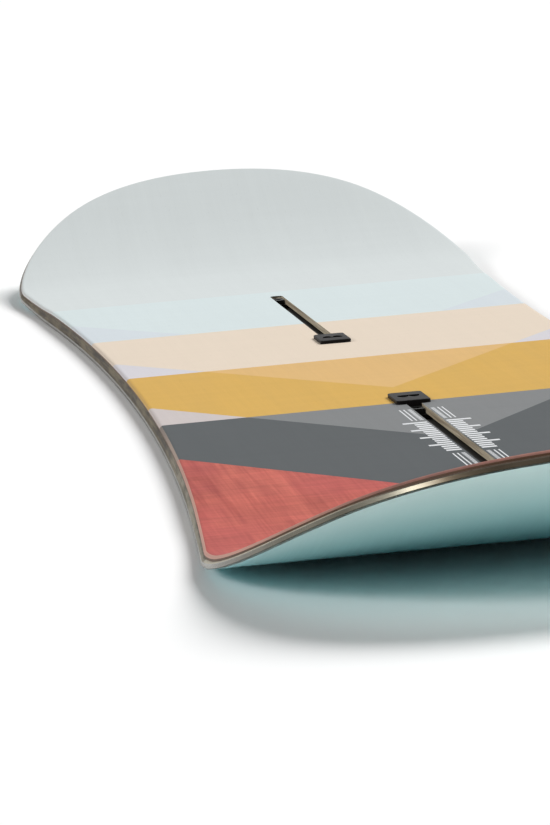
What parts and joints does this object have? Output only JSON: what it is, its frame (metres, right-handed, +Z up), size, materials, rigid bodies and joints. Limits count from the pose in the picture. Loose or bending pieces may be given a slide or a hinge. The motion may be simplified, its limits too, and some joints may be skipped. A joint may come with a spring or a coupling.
{
  "type": "snowboard",
  "caption": "Twin-tip snowboard of laminated wood and fibreglass with steel edges, upturned ends, slot channels with sliding nuts, and lift-off channel covers.",
  "frame": {"origin": "on the ground under the middle of the board, centre of the base", "axes": "+X along the board to the nose, the end nearer the camera in the picture; +Y to the right side seen from the picture's camera; +Z up out of the deck"},
  "size_m": [1.456, 0.2938, 0.0653],
  "materials": {
    "topsheet": "satin lacquer over stained wood and colour stripes",
    "laminate": "resin and glass fibre, satin",
    "base": "waxed running base",
    "steel": "ground",
    "foil": "plain",
    "sidewall": "milled",
    "spacer": "milled",
    "core": "planed",
    "channel": "moulded",
    "channel_stop": "moulded",
    "nut": "dull plated",
    "cover": "moulded, satin"
  },
  "bodies": {
    "board": {"topsheet": "topsheet", "upper_laminate": "laminate", "lower_laminate": "laminate", "base_front": "base", "base_rear": "base", "base_nose": "base", "base_tail": "base", "steel_edge_left_front": "steel", "steel_edge_left_rear": "steel", "steel_edge_right_front": "steel", "steel_edge_right_rear": "steel", "steel_edge_nose": "steel", "steel_edge_tail": "steel", "edge_foil_left": "foil", "edge_foil_right": "foil", "sidewall_left_front": "sidewall", "sidewall_left_rear": "sidewall", "sidewall_right_front": "sidewall", "sidewall_right_rear": "sidewall", "nose_spacer": "spacer", "tail_spacer": "spacer", "core_strip_middle": "core", "core_strip_nose": "core", "core_strip_tail": "core", "core_strip_left_1": "core", "core_strip_left_2": "core", "core_strip_left_3": "core", "core_strip_left_4": "core", "core_strip_right_1": "core", "core_strip_right_2": "core", "core_strip_right_3": "core", "core_strip_right_4": "core", "nose_channel_floor": "channel", "nose_channel_rail_left": "channel", "nose_channel_rail_right": "channel", "nose_channel_stop_inner": "channel_stop", "nose_channel_stop_outer": "channel_stop", "tail_channel_floor": "channel", "tail_channel_rail_left": "channel", "tail_channel_rail_right": "channel", "tail_channel_stop_inner": "channel_stop", "tail_channel_stop_outer": "channel_stop"},
    "nose_inner_nut": {"nose_nut_inner": "nut"},
    "nose_outer_nut": {"nose_nut_outer": "nut"},
    "tail_inner_nut": {"tail_nut_inner": "nut"},
    "tail_outer_nut": {"tail_nut_outer": "nut"},
    "nose_cover": {"nose_channel_cover": "cover"},
    "tail_cover": {"tail_channel_cover": "cover"}
  },
  "joints": [
    {"name": "nose_inner_nut_slide", "type": "slide", "parent": "board", "child": "nose_inner_nut", "axis": [1, 0, 0], "range_m": [0, 0.103]},
    {"name": "nose_outer_nut_slide", "type": "slide", "parent": "board", "child": "nose_outer_nut", "axis": [-1, 0, 0], "range_m": [0, 0.103]},
    {"name": "tail_inner_nut_slide", "type": "slide", "parent": "board", "child": "tail_inner_nut", "axis": [-1, 0, 0], "range_m": [0, 0.103]},
    {"name": "tail_outer_nut_slide", "type": "slide", "parent": "board", "child": "tail_outer_nut", "axis": [1, 0, 0], "range_m": [0, 0.103]},
    {"name": "nose_cover_lift", "type": "slide", "parent": "board", "child": "nose_cover", "axis": [0, 0, 1], "range_m": [0, 0.03]},
    {"name": "tail_cover_lift", "type": "slide", "parent": "board", "child": "tail_cover", "axis": [0, 0, 1], "range_m": [0, 0.03]}
  ]
}
